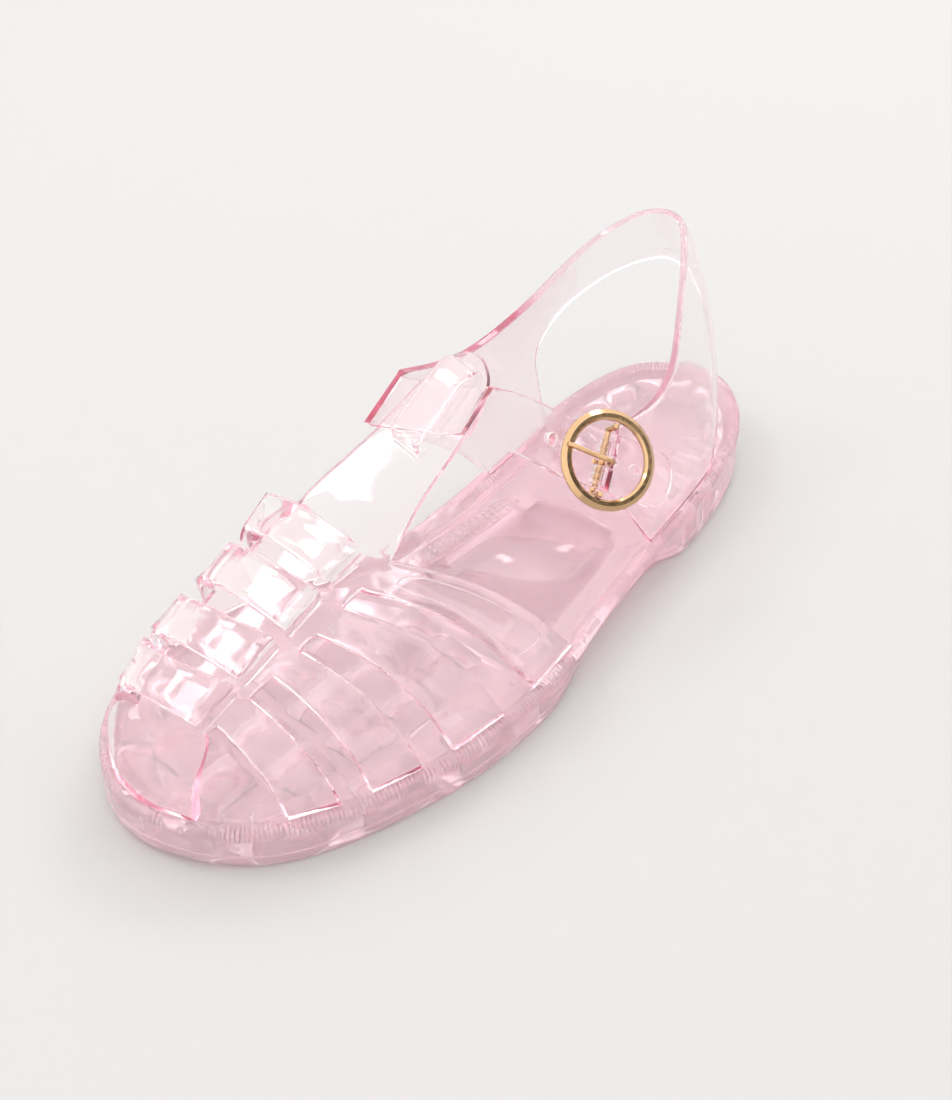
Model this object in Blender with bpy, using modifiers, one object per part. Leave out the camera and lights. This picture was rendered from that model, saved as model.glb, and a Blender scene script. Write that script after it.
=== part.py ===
"""A clear pink jelly sandal for the left foot, as one moulded sole, a woven-look vamp with a T-strap,
a rear strap that runs round the heel and over the T-strap, and a round gold buckle.

Metres, +Z up, toe towards -Y, outer side of the foot towards +X, floor at z = 0.
"""

import math

import bmesh
import bpy
import numpy as np
from mathutils import Matrix, Vector

# Main sizes
LENGTH = 0.250
BALL_WIDTH = 0.0948
INSTEP_HEIGHT = 0.061
TAB_HEIGHT = 0.094
HEEL_STRAP_HEIGHT = 0.087

# Walls and clearances
VAMP_WALL = 0.0022
LOOP_WALL = 0.0018
STRAP_WALL = 0.0020
CLEARANCE = 0.0003

# Sole
WELT_BEAD = 0.0025
WELT_AT_TOE = 0.0165
WELT_AT_BALL = 0.0138
WELT_AT_HEEL = 0.0210
FOOTBED_DROP = 0.0036
TOE_SPRING = 0.0022
WAIST_RISE = 0.0014
WAIST_INSET = 0.0042
POCKET_ROOF = 0.0030
POCKET_WALL = 0.0042
EDGE_POCKET_DEEP = 0.0095
HEEL_POCKET_DEEP = 0.0060
CELL_LONG = 0.0150
CELL_WIDE = 0.0130
CELL_RIB = 0.0040
ARCH_PANEL_DEPTH = 0.0008
UPPER_INSET = 0.0030

# Straps
LOOP_RISE = 0.0040
KEEPER_WIDTH = 0.0095
KEEPER_WALL = 0.0018
HOLE_RADIUS = 0.0016
HOLE_PITCH = 0.0075

# Buckle
RING_DIAMETER = 0.0300
RING_FACE = 0.0032
RING_THICKNESS = 0.0024
BAR_RADIUS = 0.0010
BARREL_RADIUS = 0.0022
BARREL_LENGTH = 0.0130
PRONG_RADIUS = 0.0008
STRAP_SIDE_GAP = 0.0032
STRAP_WIDTH = RING_DIAMETER - 2 * RING_FACE - 2 * STRAP_SIDE_GAP
# Levels in the buckle's frame of the strap's inner face and of the bar, and the first hole's place
STRAP_LEVEL = -(RING_THICKNESS / 2 + CLEARANCE + STRAP_WALL)
BAR_LEVEL = STRAP_LEVEL - CLEARANCE - BARREL_RADIUS
HOLE_AT = BAR_RADIUS + CLEARANCE + PRONG_RADIUS

# One step of the tables below is a millimetre of a sandal with the sizes above.
ALONG = LENGTH / 250
ACROSS = BALL_WIDTH / 94.8
UP = INSTEP_HEIGHT / 61
TAB_UP = TAB_HEIGHT / 94
HEEL_UP = HEEL_STRAP_HEIGHT / 87

# Sole outline from the toe along the outer side to the heel and back along the inner side:
# (along as a share of LENGTH, across as a share of BALL_WIDTH)
OUTLINE = (
    (-0.500, -0.070), (-0.474, 0.130), (-0.423, 0.284), (-0.348, 0.392),
    (-0.254, 0.462), (-0.149, 0.500), (-0.031, 0.482), (0.090, 0.404),
    (0.204, 0.348), (0.318, 0.298), (0.416, 0.216), (0.476, 0.088),
    (0.500, -0.066), (0.478, -0.216), (0.420, -0.335), (0.318, -0.371),
    (0.196, -0.345), (0.074, -0.324), (-0.044, -0.324), (-0.154, -0.435),
    (-0.258, -0.500), (-0.356, -0.483), (-0.430, -0.396), (-0.480, -0.250),
)

# Ridge of the vamp: (along, across, up)
RIDGE = (
    (-121.6, -6.5, 16.8), (-119.5, -7.0, 21.5), (-115.0, -8.5, 27.0), (-109.0, -10.0, 32.0),
    (-105.0, -10.8, 34.5), (-95.0, -11.5, 38.5), (-85.0, -12.0, 43.0), (-75.0, -12.6, 47.5),
    (-65.0, -13.0, 52.0), (-55.0, -13.0, 57.0), (-45.0, -13.0, 61.0), (-36.0, -13.0, 64.5),
)
POWER_INNER = 2.6
POWER_OUTER = 2.0

# Places across the vamp, from -1 at the inner welt over 0 at the ridge to 1 at the outer welt
S_FAR = -0.20
S_NEAR = 0.137
S_PLATE = 0.265
S_KEYS = (-1.0, -0.5, S_FAR, S_NEAR, S_PLATE, 0.5, 1.0)

# Edges of the cap and of the four outer straps: along at each of S_KEYS
CAP_EDGE = (-112.0, -107.5, -106.5, -104.5, -101.2, -110.5, -114.6)
STRAP_EDGES = (
    (-101.0, -104.5, -104.6, -102.4, -98.0, -97.2, -96.4),
    (-88.0, -92.0, -94.0, -90.0, -88.0, -86.0, -83.0),
    (-84.0, -89.0, -91.0, -87.0, -80.0, -77.5, -74.1),
    (-71.0, -77.0, -79.5, -74.0, -71.0, -66.0, -58.8),
    (-65.0, -71.0, -73.0, -70.0, -65.0, -58.0, -48.3),
    (-50.0, -59.0, -62.0, -58.5, -56.0, -45.0, -29.4),
    (-46.0, -54.0, -56.0, -55.0, -49.5, -37.0, -16.6),
    (-20.0, -38.0, -45.5, -42.5, -39.0, -22.0, 3.1),
)

# T-strap from the vamp to the rounded tab: left edge (across, along, up), right edge (across, along, up)
T_STRAP = (
    ((-24.0, -37.5, 63.0), (7.3, -33.0, 61.0)),
    ((-22.3, -29.0, 67.0), (5.8, -27.0, 65.2)),
    ((-20.5, -21.0, 71.5), (5.0, -20.0, 70.0)),
    ((-18.6, -14.0, 75.8), (5.0, -13.0, 75.0)),
    ((-17.0, -7.0, 81.0), (5.0, -6.0, 80.0)),
    ((-15.4, -1.0, 86.0), (4.6, 0.0, 85.4)),
    ((-13.6, 4.0, 90.2), (3.2, 4.5, 89.6)),
    ((-11.2, 7.0, 92.6), (0.6, 7.3, 92.3)),
    ((-7.8, 8.5, 94.0), (-3.4, 8.6, 94.0)),
)
T_CROWN = 0.8

# Loops over the centre strip, for the front and the rear edge: along at the far corner, the bend and the near
# foot, how far the far corner lies in from its usual place across, and how much higher it stands
LOOPS = (
    ((-57.0, -56.2, -55.0, 0.0, 0.6), (-48.0, -46.0, -42.8, 0.0, 5.2)),
    ((-74.0, -72.5, -70.5, 1.0, 0.0), (-63.0, -61.0, -58.0, 0.5, 0.8)),
    ((-92.0, -89.5, -87.0, 1.5, 0.0), (-81.0, -78.0, -73.8, 1.0, 0.5)),
    ((-107.5, -105.5, -102.3, 5.0, 0.0), (-97.0, -93.5, -89.2, 1.5, 0.3)),
)
# Across and rise, as a share of LOOP_RISE, of a loop's outer line; the ends sit in the wall below
LOOP_PATH = (
    (-34.3, -0.30), (-33.4, 0.45), (-31.2, 1.0), (-20.0, 0.98),
    (-9.0, 0.90), (-4.0, 0.62), (0.4, 0.24), (2.2, -0.30),
)

# The keeper along the T-strap: along, share of its rise
KEEPER_ARCH = (
    (-16.6, -0.25), (-15.6, 0.45), (-14.2, 1.0), (-5.0, 1.04),
    (3.0, 1.0), (5.6, 0.45), (6.3, -0.25),
)

# Rear strap: lower edge, upper edge, each across, along, up. An across of None is on the welt.
QUARTER = (
    ((23.5, 36.5, 42.0), (16.3, 47.0, 57.6)),
    ((27.3, 43.0, 31.0), (18.2, 55.0, 59.0)),
    ((None, 50.0, None), (18.6, 61.0, 60.3)),
    ((None, 58.0, None), (17.6, 67.0, 62.2)),
    ((None, 68.0, None), (15.2, 73.0, 65.0)),
    ((None, 78.0, None), (10.8, 79.5, 69.2)),
    ((None, 86.5, None), (5.8, 86.0, 74.8)),
    ((20.3, 92.6, 25.0), (1.0, 92.4, 79.8)),
    ((15.4, 98.0, 34.5), (-3.8, 98.4, 83.8)),
    ((8.0, 103.6, 49.0), (-8.0, 102.8, 86.2)),
    ((-1.0, 109.0, 62.5), (-11.2, 106.0, 87.5)),
    ((-11.5, 112.2, 68.0), (-16.2, 107.4, 88.0)),
    ((-20.5, 110.2, 69.0), (-21.8, 106.0, 87.8)),
    ((-27.4, 100.4, 68.2), (-27.0, 100.4, 86.4)),
    ((-31.0, 87.0, 65.8), (-29.6, 90.0, 84.0)),
    ((-33.2, 76.0, 61.6), (-31.0, 80.0, 81.2)),
    ((-34.2, 67.5, 56.0), (-31.4, 69.0, 77.2)),
)
# The inner post: foot on the welt (along), middle (across, along, up), upper edge (across, along, up)
POST = (
    (65.5, (-34.8, 62.5, 47.0), (-31.2, 58.5, 73.6)),
    (56.0, (-34.0, 52.0, 44.5), (-30.4, 47.0, 71.8)),
    (46.5, (-32.2, 37.5, 43.5), (-28.9, 34.0, 71.5)),
    (37.5, (-29.8, 22.5, 34.5), (-27.6, 22.5, 73.2)),
)
# From the post to the fold at the T-strap: lower edge, upper edge
RISE = (
    ((-28.0, 7.5, 49.5), (-26.4, 12.0, 77.0)),
    ((-25.8, -6.0, 63.8), (-25.0, 3.5, 81.5)),
    ((-24.2, -14.4, 73.0), (-23.8, -3.2, 85.0)),
)
# Over the T-strap: across, along of the lower edge, along of the upper edge
OVER = (
    (-22.3, -17.2, -4.0), (-18.5, -16.2, -3.2), (-12.0, -13.8, -1.4), (-5.0, -11.0, 1.0), (2.6, -7.8, 3.6),
    (6.6, -5.8, 5.4),
)
# Down to the buckle: lower edge, upper edge
DOWN = (
    ((9.2, 2.6, 73.4), (7.4, 13.0, 85.4)),
    ((13.0, 11.8, 65.0), (8.6, 22.4, 76.4)),
    ((14.9, 15.7, 61.0), (9.3, 27.4, 71.4)),
)

# Buckle frame: its middle in the tables' steps, the way its face looks, the way the strap runs through it
BUCKLE_AT = (22.8, 35.0, 56.0)
BUCKLE_FACE = (0.68, -0.16, 0.72)
BUCKLE_ALONG = (0.57, 0.66, -0.49)


def clear_scene():
    for old in list(bpy.data.objects):
        bpy.data.objects.remove(old)


def make_collection(name):
    found = bpy.data.collections.new(name)
    bpy.context.scene.collection.children.link(found)
    return found


def make_material(name, colour, roughness, metallic, transmission):
    made = bpy.data.materials.new(name)
    made.use_nodes = True
    shader = made.node_tree.nodes["Principled BSDF"]
    shader.inputs["Base Color"].default_value = colour
    shader.inputs["Roughness"].default_value = roughness
    shader.inputs["Metallic"].default_value = metallic
    shader.inputs["Transmission Weight"].default_value = transmission
    return made


def add_object(name, mesh, collection, material=None, smooth=40):
    made = bpy.data.objects.new(name, mesh)
    collection.objects.link(made)
    if material:
        mesh.materials.append(material)
    if smooth:
        mesh.shade_smooth()
        mesh.set_sharp_from_angle(angle=math.radians(smooth))
    return made


def as_cutter(made):
    made.hide_render = True
    made.display_type = "WIRE"


def cut_with(target, other, operation):
    modifier = target.modifiers.new(other.name, "BOOLEAN")
    modifier.operation = operation
    modifier.object = other
    modifier.solver = "EXACT"


def finish_mesh(name, bm):
    bmesh.ops.recalc_face_normals(bm, faces=bm.faces)
    mesh = bpy.data.meshes.new(name)
    bm.to_mesh(mesh)
    bm.free()
    return mesh


def smooth_between(low, high, value):
    t = min(max((value - low) / (high - low), 0.0), 1.0)
    return t * t * (3 - 2 * t)


def table_at(rows, value, column):
    """A smooth curve through a table's rows, read at a value of its first column."""
    xs = np.array([row[0] for row in rows])
    ys = np.array([row[column] for row in rows])
    value = min(max(value, xs[0]), xs[-1])
    i = min(max(int(np.searchsorted(xs, value)) - 1, 0), len(xs) - 2)
    slopes = np.diff(ys) / np.diff(xs)
    ends = []
    for k in (i, i + 1):
        if k == 0 or k == len(xs) - 1:
            ends.append(slopes[min(k, len(slopes) - 1)])
            continue
        a, b = slopes[k - 1], slopes[k]
        ends.append(0.0 if a * b <= 0 else 2 * a * b / (a + b))
    h = xs[i + 1] - xs[i]
    t = (value - xs[i]) / h
    return float(
        ys[i] * (2 * t ** 3 - 3 * t ** 2 + 1)
        + ys[i + 1] * (3 * t ** 2 - 2 * t ** 3)
        + h * ends[0] * (t ** 3 - 2 * t ** 2 + t)
        + h * ends[1] * (t ** 3 - t ** 2)
    )


def outline_loop(count):
    rows = np.array(OUTLINE) * (LENGTH, BALL_WIDTH)
    n = len(rows)
    t = np.linspace(0, n, count, endpoint=False)
    i = np.floor(t).astype(int)
    f = (t - i)[:, None]
    p0, p1, p2, p3 = (rows[(i + k) % n] for k in (-1, 0, 1, 2))
    curve = 0.5 * (
        2 * p1
        + (p2 - p0) * f
        + (2 * p0 - 5 * p1 + 4 * p2 - p3) * f ** 2
        + (3 * p1 - p0 - 3 * p2 + p3) * f ** 3
    )
    return curve[:, ::-1].copy()


def inset_loop(loop, distance):
    """The loop moved inwards; distance is one number or one for each point."""
    tangent = np.roll(loop, -1, 0) - np.roll(loop, 1, 0)
    normal = np.stack([-tangent[:, 1], tangent[:, 0]], 1)
    normal /= np.linalg.norm(normal, axis=1)[:, None]
    return loop + normal * np.reshape(distance, (-1, 1))


FINE_OUTLINE = outline_loop(720)


def side_x(y, side, inset):
    """Across of the outline at y, on the inner side (-1) or the outer side (1), moved in by inset."""
    loop = inset_loop(FINE_OUTLINE, inset)
    toe = loop[:, 1].argmin()
    heel = loop[:, 1].argmax()
    line = np.interp(loop[:, 1], [loop[toe, 1], loop[heel, 1]], [loop[toe, 0], loop[heel, 0]])
    kept = loop[(loop[:, 0] - line) * side >= 0]
    kept = kept[kept[:, 1].argsort()]
    return float(np.interp(y, kept[:, 1], kept[:, 0]))


def welt_top(y):
    rows = (
        (-0.50, WELT_AT_TOE), (-0.38, 0.4 * WELT_AT_TOE + 0.6 * WELT_AT_BALL), (-0.24, WELT_AT_BALL),
        (0.04, WELT_AT_BALL), (0.24, 0.55 * WELT_AT_BALL + 0.45 * WELT_AT_HEEL), (0.50, WELT_AT_HEEL),
    )
    return table_at(rows, y / LENGTH, 1)


def bottom_at(y):
    toe = TOE_SPRING * (1 - smooth_between(-0.50, -0.37, y / LENGTH)) ** 2
    waist = WAIST_RISE * smooth_between(0.02, 0.14, y / LENGTH)
    waist *= 1 - smooth_between(0.243, 0.249, y / LENGTH)
    return toe + waist


def waist_share(y):
    return smooth_between(-0.06, 0.10, y / LENGTH) * (1 - smooth_between(0.21, 0.27, y / LENGTH))


def build_sole(collection, cutters, material):
    count = 144
    loop = outline_loop(count)
    ys = loop[:, 1]
    top = np.array([welt_top(y) for y in ys])
    low = np.array([bottom_at(y) for y in ys])
    waist = np.array([waist_share(y) for y in ys])
    bead = WELT_BEAD
    rings = [
        (0.0050 + WAIST_INSET * waist, low),
        (0.0005 + WAIST_INSET * waist, low),
        (WAIST_INSET * waist, low + 0.0006),
        (WAIST_INSET * waist, low + 0.0028),
        (0.0004 + 0.25 * WAIST_INSET * waist, top - 2.6 * bead),
        (0.0006 + 0 * waist, top - 1.75 * bead),
    ]
    for degrees in (-20, 25, 65, 105, 145):
        angle = math.radians(degrees)
        rings.append((bead * (1 - math.cos(angle)) + 0 * waist, top - bead + bead * math.sin(angle)))
    rings.append((0.0057 + 0 * waist, top - FOOTBED_DROP + 0.0006))
    rings.append((0.0080 + 0 * waist, top - FOOTBED_DROP))
    bm = bmesh.new()
    grid = []
    for inset, height in rings:
        flat = inset_loop(loop, inset)
        grid.append([bm.verts.new((p[0], p[1], h)) for p, h in zip(flat, height)])
    for a, b in zip(grid, grid[1:]):
        for k in range(count):
            n = (k + 1) % count
            bm.faces.new((a[k], a[n], b[n], b[k]))
    for ring, sag in ((grid[0], 0.0), (grid[-1], 0.0010)):
        across = []
        for k in range(count // 2 + 1):
            lateral = ring[k]
            medial = ring[-k % count]
            if lateral is medial:
                across.append([lateral])
                continue
            row = [lateral]
            for share in (0.25, 0.5, 0.75):
                point = lateral.co.lerp(medial.co, share)
                point.z -= sag * math.sin(math.pi * share) * min(1.0, (lateral.co - medial.co).length / 0.04)
                row.append(bm.verts.new(point))
            across.append(row + [medial])
        for a, b in zip(across, across[1:]):
            for j in range(4):
                corners = [a[min(j, len(a) - 1)], a[min(j + 1, len(a) - 1)]]
                corners += [b[min(j + 1, len(b) - 1)], b[min(j, len(b) - 1)]]
                unique = list(dict.fromkeys(corners))
                bm.faces.new(unique)
    sole = add_object("sole", finish_mesh("sole", bm), collection, material)
    for cutter in sole_cutters(cutters):
        cut_with(sole, cutter, "DIFFERENCE")
    return sole


def prism(name, corners, low, high, collection):
    """An upright prism over corners; low and high are heights, high one number or one a corner."""
    highs = np.broadcast_to(high, (len(corners),))
    bm = bmesh.new()
    under = [bm.verts.new((x, y, low)) for x, y in corners]
    over = [bm.verts.new((x, y, z)) for (x, y), z in zip(corners, highs)]
    bm.faces.new(under)
    bm.faces.new(over)
    for k in range(len(corners)):
        n = (k + 1) % len(corners)
        bm.faces.new((under[k], under[n], over[n], over[k]))
    made = add_object(name, finish_mesh(name, bm), collection, smooth=0)
    as_cutter(made)
    return made


def sole_cutters(collection):
    """Hollows under the sole: a row along its edge, a grid under the ball and a ring under the heel."""
    made = []
    loop = FINE_OUTLINE
    steps = np.linalg.norm(np.roll(loop, -1, 0) - loop, axis=1)
    run = np.concatenate([[0], np.cumsum(steps)])
    total = run[-1]

    def arc(middle, length, inset, points):
        at = (np.linspace(-0.5, 0.5, points) * length + middle) % total
        ring = inset_loop(loop, inset)
        ring = np.vstack([ring, ring[:1]])
        return np.stack([np.interp(at, run, ring[:, 0]), np.interp(at, run, ring[:, 1])], 1)

    pitch = LENGTH * 0.132
    heel_pitch = LENGTH * 0.052
    for kind, spacing in (("ball", pitch), ("heel", heel_pitch)):
        number = round(total / spacing)
        for k in range(number):
            middle = (k + 0.5) * total / number
            centre = arc(middle, 0.0, 0.006, 1)[0]
            along = centre[1] / LENGTH
            if kind == "ball" and along > 0.02:
                continue
            if kind == "heel" and along < 0.285:
                continue
            deep = EDGE_POCKET_DEEP if kind == "ball" else HEEL_POCKET_DEEP
            wide = total / number - (0.011 if kind == "ball" else 0.0022)
            outer = arc(middle, wide, POCKET_WALL, 4)
            inner = arc(middle, wide * 0.86, POCKET_WALL + deep, 4)[::-1]
            roof = welt_top(centre[1]) - FOOTBED_DROP - POCKET_ROOF
            made.append(prism(f"cut_{kind}_{k}", np.vstack([outer, inner]), -0.002, roof, collection))
    rows = (
        (-0.395, 2, -0.006), (-0.319, 3, -0.003), (-0.243, 3, 0.001),
        (-0.167, 3, 0.003), (-0.091, 2, 0.006),
    )
    for i, (along, number, shift) in enumerate(rows):
        for j in range(number):
            x = shift + (j - (number - 1) / 2) * (CELL_WIDE + CELL_RIB)
            y = along * LENGTH
            half = (CELL_WIDE / 2, CELL_LONG / 2)
            corners = [(x + half[0] * a, y + half[1] * b) for a, b in ((-1, -1), (1, -1), (1, 1), (-1, 1))]
            roof = welt_top(y) - FOOTBED_DROP - POCKET_ROOF - 0.001
            made.append(prism(f"cut_cell_{i}_{j}", corners, -0.002, roof, collection))
    corners = []
    panel = ((-10.4, 41.9), (16.0, 48.3), (23.2, 4.7), (-13.9, -8.5))
    for k, (x, y) in enumerate(panel):
        x2, y2 = panel[(k + 1) % 4]
        away = np.array([y2 - y, x - x2]) * -0.045
        corners.append((x * ACROSS, y * ALONG))
        for t in (0.25, 0.5, 0.75):
            bow = away * 4 * t * (1 - t)
            corners.append(((x + (x2 - x) * t + bow[0]) * ACROSS, (y + (y2 - y) * t + bow[1]) * ALONG))
    floor = welt_top(0.08 * LENGTH) - FOOTBED_DROP - 0.0010 - ARCH_PANEL_DEPTH
    made.append(prism("cut_arch_panel", corners[::-1], floor, floor + 0.01, collection))
    return made


def ridge_at(y):
    return table_at(RIDGE, y / ALONG, 1) * ACROSS, table_at(RIDGE, y / ALONG, 2) * UP


def foot_of_upper(y):
    return welt_top(y) + CLEARANCE


def section(y, s, depth=0.0):
    """Point of the vamp at y, a depth under its outer face, with s from -1 at the inner welt over the ridge
    to 1 at the outer welt."""
    across, height = ridge_at(y - depth * smooth_between(-0.36, -0.48, y / LENGTH))
    base = foot_of_upper(y)
    height = max(height - depth, base)
    side = side_x(y, 1 if s > 0 else -1, UPPER_INSET + depth)
    power = POWER_OUTER if s > 0 else POWER_INNER
    angle = (1 - abs(s)) * math.pi / 2
    x = across + (side - across) * max(math.cos(angle), 0.0) ** (2 / power)
    return np.array([x, y, base + (height - base) * math.sin(angle) ** (2 / power)])


def vamp_height(x, y):
    """Height of the vamp's outer face over a place."""
    across, height = ridge_at(y)
    base = foot_of_upper(y)
    side = side_x(y, 1 if x > across else -1, UPPER_INSET)
    power = POWER_OUTER if x > across else POWER_INNER
    share = min(abs((x - across) / (side - across)), 1.0)
    return base + (height - base) * (1 - share ** power) ** (1 / power)


def grid_shell(name, grid, cells, wall, flat_feet=(), inner_rows=None):
    """One closed wall under a grid of outer points, made only where cells are present. Inner rows that are
    given stand for those that the wall works out."""
    rows, columns = grid.shape[:2]
    normals = np.zeros_like(grid)
    for i in range(rows - 1):
        for j in range(columns - 1):
            if not cells[i, j]:
                continue
            a, b, c, d = grid[i, j], grid[i, j + 1], grid[i + 1, j + 1], grid[i + 1, j]
            face = np.cross(c - a, d - b)
            for u, v in ((i, j), (i, j + 1), (i + 1, j + 1), (i + 1, j)):
                normals[u, v] += face
    lengths = np.linalg.norm(normals, axis=2)
    normals /= np.where(lengths > 0, lengths, 1)[:, :, None]
    inner = grid - normals * wall
    if inner_rows is not None:
        inner[: len(inner_rows)] = inner_rows
    for i, j in flat_feet:
        inner[i, j, 2] = grid[i, j, 2]
    bm = bmesh.new()
    made = {}

    def vert(layer, i, j):
        if (layer, i, j) not in made:
            made[layer, i, j] = bm.verts.new(grid[i, j] if layer else inner[i, j])
        return made[layer, i, j]

    def face(corners):
        kept = []
        for corner in corners:
            if all((corner.co - other.co).length > 1e-6 for other in kept):
                kept.append(corner)
        if len(kept) > 2:
            bm.faces.new(kept)

    def present(i, j):
        return 0 <= i < rows - 1 and 0 <= j < columns - 1 and cells[i, j]

    for i in range(rows - 1):
        for j in range(columns - 1):
            if not present(i, j):
                continue
            ring = ((i, j), (i, j + 1), (i + 1, j + 1), (i + 1, j))
            face([vert(1, u, v) for u, v in ring])
            face([vert(0, u, v) for u, v in reversed(ring)])
            beside = ((i - 1, j), (i, j + 1), (i + 1, j), (i, j - 1))
            for k, other in enumerate(beside):
                if present(*other):
                    continue
                a, b = ring[k], ring[(k + 1) % 4]
                face([vert(1, *b), vert(1, *a), vert(0, *a), vert(0, *b)])
    bmesh.ops.remove_doubles(bm, verts=bm.verts, dist=2e-6)
    return finish_mesh(name, bm)


def band(name, front, rear, wall, down, collection):
    """A strip of even wall between a front and a rear line of outer points; down points to its inner face."""
    front = np.array(front)
    rear = np.array(rear)
    inward = np.array(down) * wall
    bm = bmesh.new()
    lines = []
    for line in (front, rear, rear + inward, front + inward):
        lines.append([bm.verts.new(p) for p in line])
    for k in range(4):
        a, b = lines[k], lines[(k + 1) % 4]
        for i in range(len(a) - 1):
            bm.faces.new((a[i], a[i + 1], b[i + 1], b[i]))
    bm.faces.new([line[0] for line in lines])
    bm.faces.new([line[-1] for line in lines])
    made = add_object(name, finish_mesh(name, bm), collection)
    as_cutter(made)
    return made


def t_point(row, share):
    left, right = T_STRAP[row]
    point = np.array(left) * (1 - share) + np.array(right) * share
    broad = (right[0] - left[0]) / (T_STRAP[0][1][0] - T_STRAP[0][0][0])
    crown = T_CROWN * broad ** 2 * 4 * share * (1 - share)
    return np.array([point[0] * ACROSS, point[1] * ALONG, point[2] * TAB_UP + crown * ACROSS])


def t_height(x, y):
    """Height of the T-strap's outer face over a place, read along its middle."""
    rows = []
    for k in range(len(T_STRAP)):
        left, right = t_point(k, 0.0), t_point(k, 1.0)
        share = (x - left[0]) / max(right[0] - left[0], 1e-6)
        share = min(max(share, 0.0), 1.0)
        point = t_point(k, share)
        rows.append((point[1], point[2]))
    return table_at(rows, y, 1)


def above_t(x, y, lift):
    """A point at a distance above the T-strap's outer face."""
    step = 0.002
    slope = (t_height(x, y + step) - t_height(x, y - step)) / (2 * step)
    normal = np.array([0.0, -slope, 1.0])
    normal /= np.linalg.norm(normal)
    return np.array([x, y, t_height(x, y)]) + normal * lift, normal


def build_vamp(collection, cutters, material):
    places = (
        [-1.0, -0.88, -0.74, -0.60, -0.47, -0.34, S_FAR]
        + [-0.13, -0.06, 0.0, 0.07, S_NEAR, S_PLATE]
        + [0.32, 0.41, 0.52, 0.64, 0.76, 0.88, 1.0]
    )
    far = places.index(S_FAR)
    plate = places.index(S_PLATE)
    tip = RIDGE[0][0]
    edges = []
    inner_edges = []
    inner_tip = tip + VAMP_WALL / ALONG
    for share in (0.0, 0.06, 0.16, 0.30, 0.48, 0.72, 1.0):
        edges.append([tip + (edge - tip) * share for edge in CAP_EDGE])
        inner_edges.append([inner_tip + (edge - inner_tip) * share for edge in CAP_EDGE])
    cap_rows = len(edges)
    edges += [list(edge) for edge in STRAP_EDGES]
    inner_edges += [list(edge) for edge in STRAP_EDGES]
    vamp_rows = len(edges)
    rows = vamp_rows + len(T_STRAP)
    grid = np.zeros((rows, len(places), 3))
    inner = np.zeros((vamp_rows, len(places), 3))
    for i in range(vamp_rows):
        keys = list(zip(S_KEYS, edges[i]))
        inner_keys = list(zip(S_KEYS, inner_edges[i]))
        for j, s in enumerate(places):
            grid[i, j] = section(table_at(keys, s, 1) * ALONG, s)
            inner[i, j] = section(table_at(inner_keys, s, 1) * ALONG, s, VAMP_WALL)
    for k in range(len(T_STRAP)):
        for j in range(far, plate + 1):
            grid[vamp_rows + k, j] = t_point(k, (j - far) / (plate - far))
    cells = np.zeros((rows - 1, len(places) - 1), bool)
    cells[:, far:plate] = True
    cells[: cap_rows - 1, :] = True
    for k in range(0, len(STRAP_EDGES), 2):
        cells[cap_rows + k, :] = True
    feet = [(i, j) for i in range(vamp_rows) for j in (0, len(places) - 1)]
    mesh = grid_shell("vamp", grid, cells, VAMP_WALL, feet, inner)
    vamp = add_object("vamp", mesh, collection, material)
    far_x, bend_x, near_x = LOOP_PATH[2][0], LOOP_PATH[4][0], LOOP_PATH[6][0]
    for number, edges in enumerate(LOOPS):
        lines = []
        for *edge, shift, lean in edges:
            line = []
            for x, share in LOOP_PATH:
                y = float(np.interp(x, (far_x, bend_x, near_x), edge)) * ALONG
                more = lean * max(0.0, share) * float(np.interp(x, (far_x, near_x), (1.0, 0.0))) * UP
                x += shift * float(np.interp(x, (far_x, bend_x), (1.0, 0.0)))
                height = vamp_height(x * ACROSS, y)
                line.append((x * ACROSS, y, height + share * LOOP_RISE + more))
            lines.append(line)
        loop = band(f"loop_{number}", lines[0], lines[1], LOOP_WALL, (0.0, 0.18, -0.98), cutters)
        cut_with(vamp, loop, "UNION")
    lines = []
    rise = CLEARANCE + STRAP_WALL + CLEARANCE + KEEPER_WALL + 0.0004
    for x in (-12.9, -3.2):
        line = []
        for y, share in KEEPER_ARCH:
            slide = x * ACROSS + (y + 16.6) * 0.06 * ACROSS
            line.append(above_t(slide, y * ALONG, share * rise)[0])
        lines.append(line)
    normal = above_t(-8.0 * ACROSS, -5.0 * ALONG, 0.0)[1]
    keeper = band("keeper", lines[0], lines[1], KEEPER_WALL, -normal, cutters)
    cut_with(vamp, keeper, "UNION")
    return vamp


def buckle_axes():
    face = Vector(BUCKLE_FACE).normalized()
    along = Vector(BUCKLE_ALONG)
    along = (along - face * along.dot(face)).normalized()
    return face, along, face.cross(along)


def buckle_point(along, across, up):
    """A point in the buckle's own frame: along the strap, across it and out of its face."""
    face, way, side = buckle_axes()
    middle = Vector((BUCKLE_AT[0] * ACROSS, BUCKLE_AT[1] * ALONG, BUCKLE_AT[2] * TAB_UP))
    return middle + way * along + side * across + face * up


def on_welt(y, side):
    """Outer foot of a strap on the welt."""
    y = y * ALONG
    return np.array([side_x(y, side, UPPER_INSET), y, foot_of_upper(y)])


def table_point(point, up):
    return np.array([point[0] * ACROSS, point[1] * ALONG, point[2] * up])


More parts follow.
